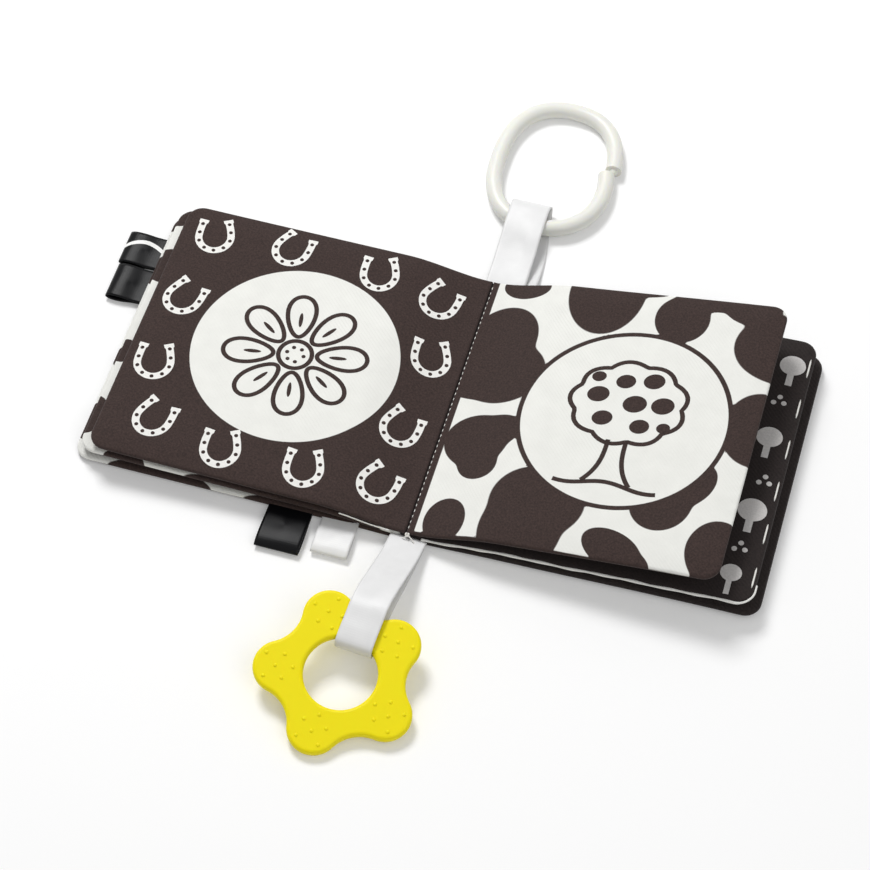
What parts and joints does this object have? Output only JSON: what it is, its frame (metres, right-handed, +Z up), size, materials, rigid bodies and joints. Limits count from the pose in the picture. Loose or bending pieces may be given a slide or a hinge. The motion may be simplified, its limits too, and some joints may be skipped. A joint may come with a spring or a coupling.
{
  "type": "cloth baby book",
  "caption": "Soft padded cloth book lying open, with hinged covers, ribbon tags, a snap link ring and a star teether on satin ribbons.",
  "frame": {"origin": "on the surface that the book lies on, under the middle of the stitched seam", "axes": "+Z up, +X over the right-hand pages, +Y along the seam away from the reader"},
  "size_m": [0.3464, 0.3915, 0.0382],
  "materials": {
    "dark_page_cloth": "matt woven polyester, printed dark brown",
    "light_page_cloth": "matt woven polyester, white with dark printed patches",
    "cover_cloth": "matt woven polyester, near black",
    "black_satin": "satin ribbon",
    "white_satin": "satin ribbon",
    "ring_plastic": "smooth moulded",
    "teether_rubber": "satin, fine raised dots"
  },
  "bodies": {
    "pages": {"right_top_leaf": "light_page_cloth", "right_middle_leaf": "dark_page_cloth", "stitched_seam": "dark_page_cloth", "ring_strap": "white_satin", "teether_strap": "white_satin"},
    "front": {"front_cover": "cover_cloth", "left_middle_leaf": "light_page_cloth", "left_top_leaf": "dark_page_cloth", "side_tag_upper": "black_satin", "side_tag_lower": "black_satin", "bottom_tag_black": "black_satin", "bottom_tag_white": "white_satin"},
    "back": {"back_cover": "cover_cloth"},
    "ring": {"link_ring": "ring_plastic"},
    "teether": {"star_teether": "teether_rubber"}
  },
  "joints": [
    {"name": "front_cover_hinge", "type": "hinge", "parent": "pages", "child": "front", "pos_m": [-0.00265, 0, 0.009], "axis": [0, 1, 0], "range_deg": [0, 154]},
    {"name": "back_cover_hinge", "type": "hinge", "parent": "pages", "child": "back", "pos_m": [0.00265, 0, 0], "axis": [0, 1, 0], "range_deg": [0, 170]},
    {"name": "ring_swing", "type": "hinge", "parent": "pages", "child": "ring", "pos_m": [0.0055, 0.11605, 0.005], "axis": [1, 0, 0], "range_deg": [-75, 110], "deforming": ["ring_strap"]},
    {"name": "teether_swing", "type": "hinge", "parent": "pages", "child": "teether", "pos_m": [-0.0029, -0.1326, 0.0151], "axis": [-0.9968, 0.0802, 0], "range_deg": [-75, 110], "deforming": ["teether_strap"]}
  ]
}
